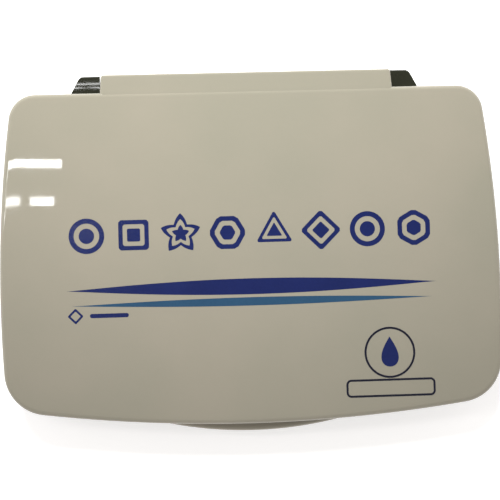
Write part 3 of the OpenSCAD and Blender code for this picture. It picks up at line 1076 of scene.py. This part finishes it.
def plate(name, outer, inner=None):
    """A thin printed shape on the lid's top, with or without a hole of as many points."""
    low, high = TOP_Z - 0.01, TOP_Z + PRINT_T
    lifted = [np.column_stack([outer, np.full(len(outer), z)]) for z in (low, high)]
    if inner is None:
        return skin(name, lifted)
    lifted += [np.column_stack([inner, np.full(len(inner), z)]) for z in (high, low)]
    return skin(name, lifted, looped=True)


def evenly(steps):
    """Angles that go once round, in radians."""
    return np.radians(np.arange(steps) * 360 / steps)


def polar(reach, around):
    return np.column_stack([reach * np.cos(around), reach * np.sin(around)])


def polygon(sides, radius, turn=90.0, corner=0.25, steps=96):
    """A regular polygon with eased corners. Points go round evenly, so rings of two sizes match."""
    angles = evenly(steps)
    part = 2 * math.pi / sides
    local = (angles + part / 2) % part - part / 2
    flat_r = radius * math.cos(part / 2)
    reach = flat_r / np.cos(part / 2 - abs(local))
    reach = np.minimum(reach, radius - corner * radius * (1 - abs(local) / part) * 0.3)
    return polar(reach, angles + math.radians(turn))


def star(radius, points=5, depth=0.55, steps=100):
    """A star with straight sides."""
    angles = evenly(steps)
    part = 2 * math.pi / points
    local = abs((angles + part / 2) % part - part / 2) / (part / 2)
    tip = np.array([radius, 0])
    notch = radius * depth * np.array([math.cos(part / 2), math.sin(part / 2)])
    along = local[:, None] * notch + (1 - local[:, None]) * tip
    return polar(np.linalg.norm(along, axis=1), np.radians(90) + angles)


def drop(radius, steps=96):
    """An ink drop, pointed at the top."""
    t = evenly(steps)
    x = radius * 0.78 * np.sin(t) * np.sin(t / 2) ** 1.2
    y = radius * np.cos(t)
    return np.column_stack([-x, y])


def lens(half_w, half_h, bow=0.0, steps=80):
    """A band pointed at both ends, with its middle raised by bow."""
    x = half_w * np.sin(np.linspace(-90, 90, steps) * math.pi / 180)
    swell = np.clip(1 - (x / half_w) ** 2, 0, 1) ** 1.15
    middle = bow * (1 - (x / half_w) ** 2)
    under = np.column_stack([x, middle - half_h * swell])
    over = np.column_stack([x, middle + half_h * swell])[::-1]
    return np.concatenate([under, over[1:-1]])


def merged(name, parts):
    """One object from several, each left as its own closed solid."""
    work = bmesh.new()
    for part in parts:
        work.from_mesh(part.data)
        bpy.data.objects.remove(part)
    mesh = bpy.data.meshes.new(name)
    work.to_mesh(mesh)
    work.free()
    return placed(name, mesh)


ROW_Y = 5.6  # above the lid's middle
ROW_R = 4.4
ROW_STEP = 11.2


def impressions():
    """A row of plain stamp impressions, each an outline round a smaller solid shape."""
    shapes = [
        lambda r: circle(r * 0.96, steps=96)(0),
        lambda r: polygon(4, r * 1.16, 45),
        lambda r: star(r * 1.12),
        lambda r: polygon(6, r * 1.03, 0),
        lambda r: polygon(3, r * 1.15),
        lambda r: polygon(4, r * 1.12, 90),
        lambda r: circle(r * 0.96, steps=96)(0),
        lambda r: polygon(6, r * 1.03, 30),
    ]
    parts = []
    for k, shape in enumerate(shapes):
        at = ((k - (len(shapes) - 1) / 2) * ROW_STEP, MID_Y + ROW_Y)
        parts.append(plate("ring", shape(ROW_R) + at, shape(ROW_R - 1.25) + at))
        parts.append(plate("core", shape(ROW_R - 2.5) + at))
    return parts


def make_print(dark, light, black):
    """Plain print: stamp impressions, two pointed bands, a ringed drop and an empty frame."""
    parts = impressions()
    parts.append(plate("band", lens(44.2, 1.9) + (0, MID_Y - 7.4)))
    corner = np.array((32.4, MID_Y - 24.15))
    ring = circle(6.1, corner, 96)
    tag = rounded_rect(10.7, 2.15, 1.2, corner[1] - 8.4)
    lines = [plate("mark_ring", ring(0), ring(0.5))]
    lines.append(plate("tag", tag(0) + (corner[0], 0), tag(0.5) + (corner[0], 0)))
    parts.append(plate("mark_drop", drop(3.6) + corner + (0, 0.2)))
    small = (-42.2, MID_Y - 13.4)
    parts.append(plate("small_mark", polygon(4, 1.9, 90) + small, polygon(4, 1.2, 90) + small))
    parts.append(plate("small_bar", rounded_rect(4.6, 0.5, 0.49, small[1])(0) + (small[0] + 8, 0)))
    finished(merged("lid_print_dark", parts), dark, "lid")
    finished(merged("lid_print_black", lines), black, "lid")
    finished(plate("lid_print_light", lens(43, 1.0) + (0, MID_Y - 11.0)), light, "lid")


# ---------- build ----------

lid_paint = glossy_plastic(
    "lid_plastic", light=(0.330, 0.303, 0.246), dark=(0.300, 0.284, 0.228), fleck=(0.16, 0.14, 0.11), seed=2
)
base_paint = grained_plastic(
    "base_plastic", (0.020, 0.021, 0.012), (0.014, 0.015, 0.008),
    grain=0.35, depth=0.0004, low=0.05, high=0.09, seed=5
)
frame_paint = grained_plastic(
    "frame_plastic", (0.022, 0.022, 0.021), (0.015, 0.015, 0.015),
    grain=0.5, depth=0.03, low=0.42, high=0.55, seed=9
)

make_lid(lid_paint)
make_liner(liner_plastic())
make_gasket(rubber("gasket_rubber", 0.035, 0.3))
make_print(
    print_ink("print_navy", (0.006, 0.014, 0.098), (0.004, 0.011, 0.082)),
    print_ink("print_blue", (0.022, 0.075, 0.150), (0.018, 0.064, 0.130)),
    print_ink("print_black", (0.006, 0.008, 0.024), (0.004, 0.006, 0.018)),
)
make_base(base_paint)
make_feet(rubber("foot_rubber", 0.018, 0.25))
make_pins(drawn_steel())
make_label(paper())
make_frame(frame_paint)
make_tray(tray_plastic())
make_sponge(felt("ink_sponge", 0.9))
make_cloth(inked_cloth(), make_felt(felt("ink_felt", 0.45)))


# ---------- stage, light and camera ----------


FLOOR_REACH = 20000.0  # so far that its end is at the horizon


def make_floor():
    reach = FLOOR_REACH
    corners = [(-reach, -reach, 0), (reach, -reach, 0), (reach, reach, 0), (-reach, reach, 0)]
    floor = mesh_object("floor", corners, [(0, 1, 2, 3)])
    paint = Paint("floor", roughness=0.6, Emission_Color=(1, 1, 1, 1), Emission_Strength=0.5)
    paint.coloured(paint.mixed(paint.noise(160, 2.0), (0.90, 0.90, 0.895), (0.93, 0.93, 0.925)))
    floor.data.materials.append(paint.material)


def aim(thing, place, target, up=(0, 1, 0)):
    """Puts a light or the camera at place, looking at target, with its own Y along up. Millimetres."""
    back = (Vector(place) - Vector(target)).normalized()
    right = Vector(up).cross(back).normalized()
    turn = Matrix((right, back.cross(right), back)).transposed().to_4x4()
    thing.matrix_world = Matrix.Translation(Vector(place) * MM) @ turn


def area_light(name, place, target, size, radiance, colour=(1, 1, 1), up=(0, 1, 0), glossy=True):
    """A rectangular light. Its power follows from how bright its face looks."""
    lamp = bpy.data.lights.new(name, "AREA")
    lamp.shape = "RECTANGLE"
    lamp.size, lamp.size_y = size[0] * MM, size[1] * MM
    lamp.energy = radiance * math.pi * lamp.size * lamp.size_y
    lamp.color = colour
    thing = placed(name, lamp)
    thing.visible_camera, thing.visible_glossy = False, glossy
    aim(thing, place, target, up)


CAMERA_DISTANCE = 340.0
CAMERA_TILT = 3.0  # towards the front
CAMERA_SIDE = -2.51  # towards the left
CAMERA_ROLL = 1.72
LENS = 101.8
CAMERA_TARGET = np.array([-0.25, MID_Y + 1.37, TOP_Z - 2])


def camera_place():
    side, tilt = math.radians(CAMERA_SIDE), math.radians(CAMERA_TILT)
    back = np.array([math.sin(side) * math.cos(tilt), -math.sin(tilt), math.cos(side) * math.cos(tilt)])
    return CAMERA_TARGET + back * CAMERA_DISTANCE


def rolled_up():
    roll = math.radians(CAMERA_ROLL)
    return (math.sin(roll), math.cos(roll), 0)


def make_camera():
    camera = bpy.data.cameras.new("camera")
    camera.lens = LENS
    camera.clip_start, camera.clip_end = 0.01, 10
    thing = placed("camera", camera)
    aim(thing, camera_place(), CAMERA_TARGET, rolled_up())
    bpy.context.scene.camera = thing


SKY_DOME = 0.36
SKY_GLOW = 2.4
SKY_SEEN = 1.1
KEY_HALF_ANGLE = 16.0
KEY_PLACE = (-90, 300, 620)
KEY_TARGET = (-8, 105, 0)
TUBE_Z = 600.0
TUBE_RADIANCE = 30.0


def tube(name, start, end, width):
    """A tube light overhead, placed so that the camera sees it mirrored in the lid between two spots."""
    eye = camera_place()
    stretch = (eye[2] + TUBE_Z - 2 * TOP_Z) / (eye[2] - TOP_Z)
    ends = [eye[:2] + (np.array(spot) + (0, MID_Y) - eye[:2]) * stretch for spot in (start, end)]
    middle, size = (ends[0] + ends[1]) / 2, (np.linalg.norm(ends[1] - ends[0]), width * stretch)
    area_light(name, (*middle, TUBE_Z), (*middle, 0), size, TUBE_RADIANCE, up=rolled_up())


def sky_light(tree):
    """A dim even dome, brighter along the horizon behind the pad. Seen directly, it is plain white."""
    direction = shader_node(tree, "ShaderNodeTexCoord").outputs["Generated"]
    apart = shader_node(tree, "ShaderNodeSeparateXYZ", {0: direction})
    low = shader_node(tree, "ShaderNodeMapRange", {0: apart.outputs[2], 1: 0.0, 2: 0.55, 3: 1.0, 4: 0.0})
    rear = shader_node(tree, "ShaderNodeMapRange", {0: apart.outputs[1], 1: -0.35, 2: 0.25, 3: 0.0, 4: 1.0})
    values = {0: low.outputs[0], 1: rear.outputs[0]}
    glow = shader_node(tree, "ShaderNodeMath", values, operation="MULTIPLY").outputs[0]
    values = {0: glow, 1: SKY_GLOW, 2: SKY_DOME}
    strength = shader_node(tree, "ShaderNodeMath", values, operation="MULTIPLY_ADD").outputs[0]
    direct = shader_node(tree, "ShaderNodeLightPath").outputs["Is Camera Ray"]
    seen = shader_node(tree, "ShaderNodeMapRange", {0: direct, 3: strength, 4: SKY_SEEN}).outputs[0]
    background = tree.nodes["Background"]
    background.inputs["Color"].default_value = (1.0, 0.965, 0.95, 1)
    tree.links.new(seen, background.inputs["Strength"])


def key_light():
    """A soft spot from behind, whose beam fades out over the lid towards its front."""
    lamp = bpy.data.lights.new("key", "SPOT")
    lamp.energy = 24.5
    lamp.color = (0.985, 1.0, 0.955)
    lamp.spot_size, lamp.spot_blend = math.radians(2 * KEY_HALF_ANGLE), 1.0
    lamp.shadow_soft_size = 0.06
    thing = placed("key", lamp)
    thing.visible_camera = thing.visible_glossy = False
    aim(thing, KEY_PLACE, KEY_TARGET)


def make_lights():
    world = bpy.data.worlds.new("world")
    bpy.context.scene.world = world
    world.use_nodes = True
    sky_light(world.node_tree)
    key_light()
    area_light("fill", (0, -350, 250), (0, 0, 0), (300, 200), 1.6, (1.0, 0.93, 0.90), glossy=False)
    tube("tube_rear", (-190, 27.5), (-44.7, 23.15), 2.0)
    tube("tube_front", (-52.3, 14.3), (-46.7, 14.15), 2.0)
    tube("tube_front_far", (-190, 18.4), (-54.8, 14.4), 2.0)


make_floor()
make_lights()
make_camera()
bpy.context.scene.view_settings.view_transform = "Standard"
